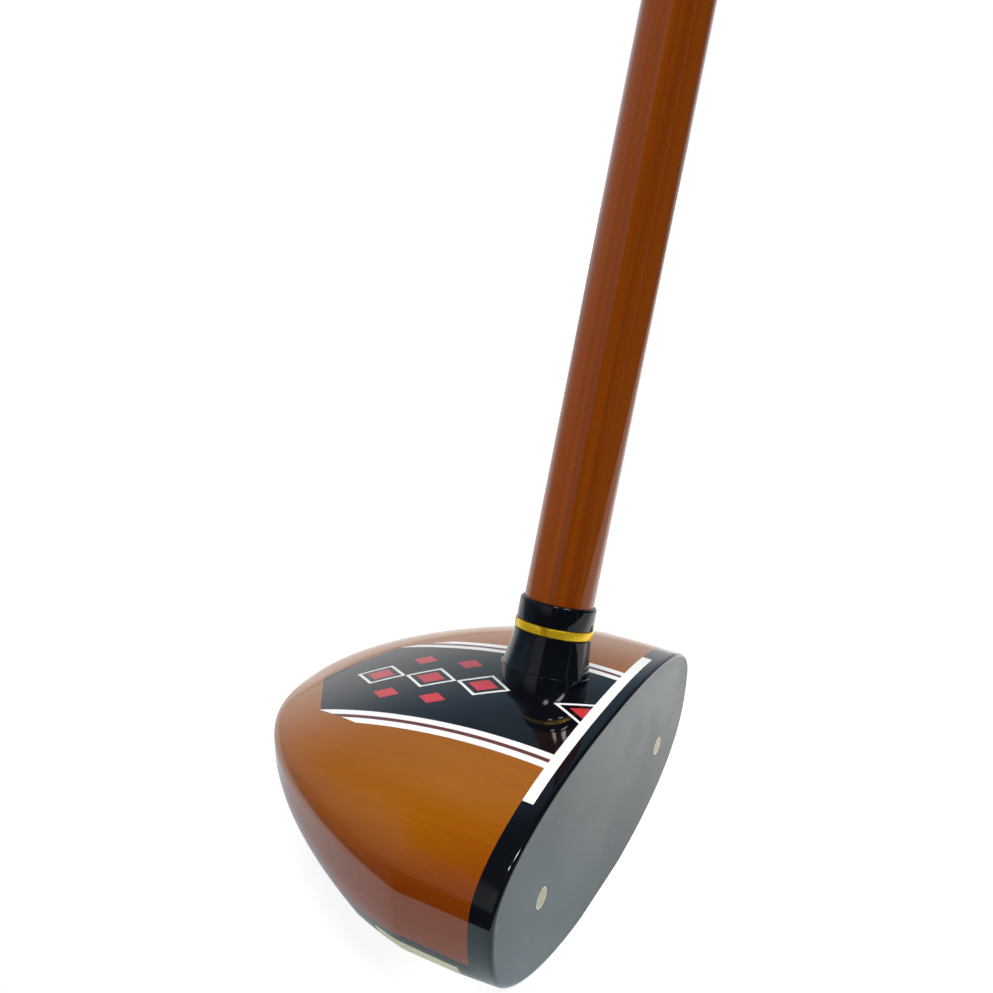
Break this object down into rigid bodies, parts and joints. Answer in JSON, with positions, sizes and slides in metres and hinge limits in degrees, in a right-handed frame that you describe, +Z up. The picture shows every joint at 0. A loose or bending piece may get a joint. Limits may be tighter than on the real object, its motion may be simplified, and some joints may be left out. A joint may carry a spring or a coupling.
{
  "type": "park golf club",
  "caption": "Park golf club: broad wooden mallet head with a grey striking plate, curved brass sole plate, leaning tubular shaft with a black and gold ferrule, and a rubber grip",
  "frame": {"origin": "Middle of the sole plate's flat, which rests on the ground at address", "axes": "+Z up; -Y is the way the striking face looks and the ball leaves; -X is the toe and +X the heel of a right-handed club; the shaft leans towards +X"},
  "size_m": [0.3378, 0.1024, 0.7945],
  "materials": {
    "wood": "brown wood under a thick clear gloss lacquer",
    "face": "satin grey striking plate, lightly worn",
    "pin": "cream, sanded flush with the striking plate",
    "brass": "polished and scuffed by the ground",
    "weight": "as turned",
    "steel": "bright",
    "shaft": "fibre tube under brown gloss lacquer",
    "plug": "bare",
    "ferrule": "polished black",
    "gold": "gold anodised, polished",
    "tape": "plain cloth tape",
    "rubber": "matt black"
  },
  "bodies": {
    "root": {"head_block": "wood", "face_plate": "face", "face_pin_toe": "pin", "face_pin_heel": "pin", "sole_plate": "brass", "sole_screw_1": "steel", "sole_screw_2": "steel", "sole_screw_3": "steel", "sole_screw_4": "steel", "sole_screw_5": "steel", "sole_screw_6": "steel", "balance_weight_toe": "weight", "balance_weight_heel": "weight", "shaft": "shaft", "tip_plug": "plug", "butt_plug": "plug", "ferrule_base": "ferrule", "ferrule_ring": "gold", "ferrule_collar": "ferrule", "grip_underlay": "tape", "grip": "rubber", "grip_ring": "ferrule", "grip_cap": "rubber"}
  },
  "joints": []
}
